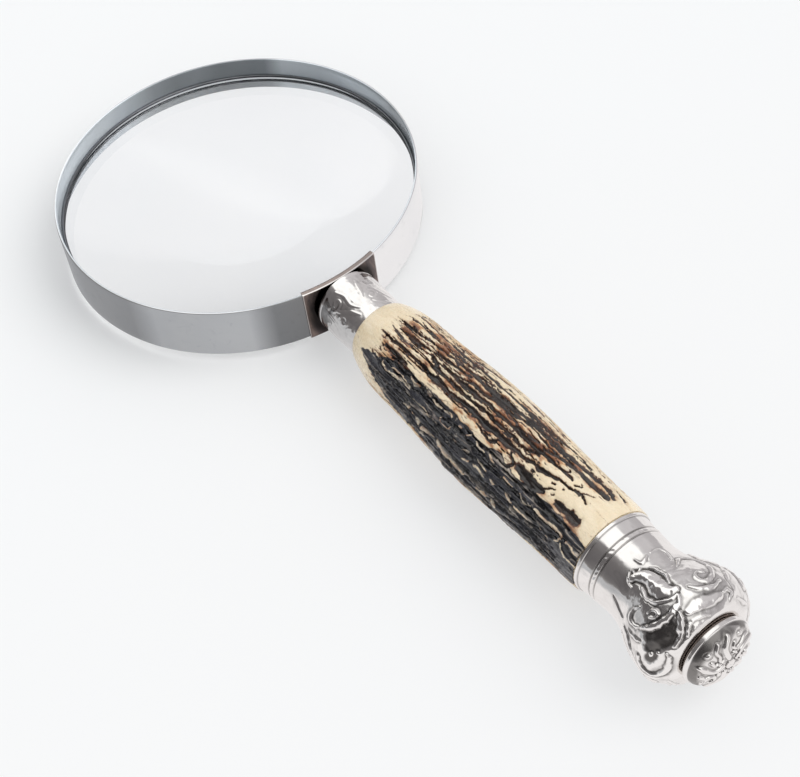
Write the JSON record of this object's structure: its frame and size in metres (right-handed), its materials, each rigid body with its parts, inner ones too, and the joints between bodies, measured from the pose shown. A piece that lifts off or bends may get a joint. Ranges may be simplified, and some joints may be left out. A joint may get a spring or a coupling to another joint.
{
  "type": "magnifying glass",
  "caption": "Hand magnifier: biconvex lens in a deep metal band, with an antler grip between a silver ferrule and an embossed pommel with a screwed end boss.",
  "frame": {"origin": "centre of the bounding box: on the handle's axis, level with the middle of the lens, 72.025 mm from the lens centre", "axes": "+Z is parallel to the optical axis, up; +X runs along the handle from the lens to the pommel; +Y completes the right-handed frame"},
  "size_m": [0.244, 0.1, 0.0296],
  "materials": {
    "band": "polished plated band",
    "lens_glass": "clear polished",
    "ring_wire": "drawn spring wire",
    "saddle_metal": "plated sheet, slightly tarnished",
    "steel": "turned",
    "fibre": null,
    "silver": "silver plate, polished relief with dark recesses",
    "plug_wood": "turned hardwood",
    "brass": "turned",
    "antler": null,
    "filler": "cast pitch filler",
    "washer_leather": "thin leather"
  },
  "bodies": {
    "head": {"rim_band": "band", "lens": "lens_glass", "lower_retaining_ring": "ring_wire", "upper_retaining_ring": "ring_wire", "saddle": "saddle_metal", "threaded_stud": "steel"},
    "handle_carriage": {"friction_washer": "fibre"},
    "handle": {"ferrule": "silver", "ferrule_plug": "plug_wood", "threaded_socket": "brass", "grip": "antler", "tie_rod": "steel", "pommel_collar": "silver", "pommel_shell": "silver", "pommel_core": "filler", "rod_washer": "steel", "rod_nut": "brass"},
    "boss_carriage": {"boss_washer": "washer_leather"},
    "boss": {"end_boss": "silver", "boss_insert": "brass"}
  },
  "joints": [
    {"name": "handle_advance", "type": "slide", "parent": "head", "child": "handle_carriage", "axis": [1, 0, 0], "range_m": [0, 0.00801]},
    {"name": "handle_turn", "type": "hinge", "parent": "handle_carriage", "child": "handle", "pos_m": [-0.01172, 0, 0], "axis": [1, 0, 0], "range_deg": [0, 2880]},
    {"name": "boss_advance", "type": "slide", "parent": "handle", "child": "boss_carriage", "axis": [1, 0, 0], "range_m": [0, 0.0033]},
    {"name": "boss_turn", "type": "hinge", "parent": "boss_carriage", "child": "boss", "pos_m": [0.118, 0, 0], "axis": [1, 0, 0], "range_deg": [0, 1440]}
  ],
  "couplings": [
    {"joint": "handle_advance", "follows": "handle_turn", "m_per_rad": 0.00015915},
    {"joint": "boss_advance", "follows": "boss_turn", "m_per_rad": 0.00012732}
  ]
}
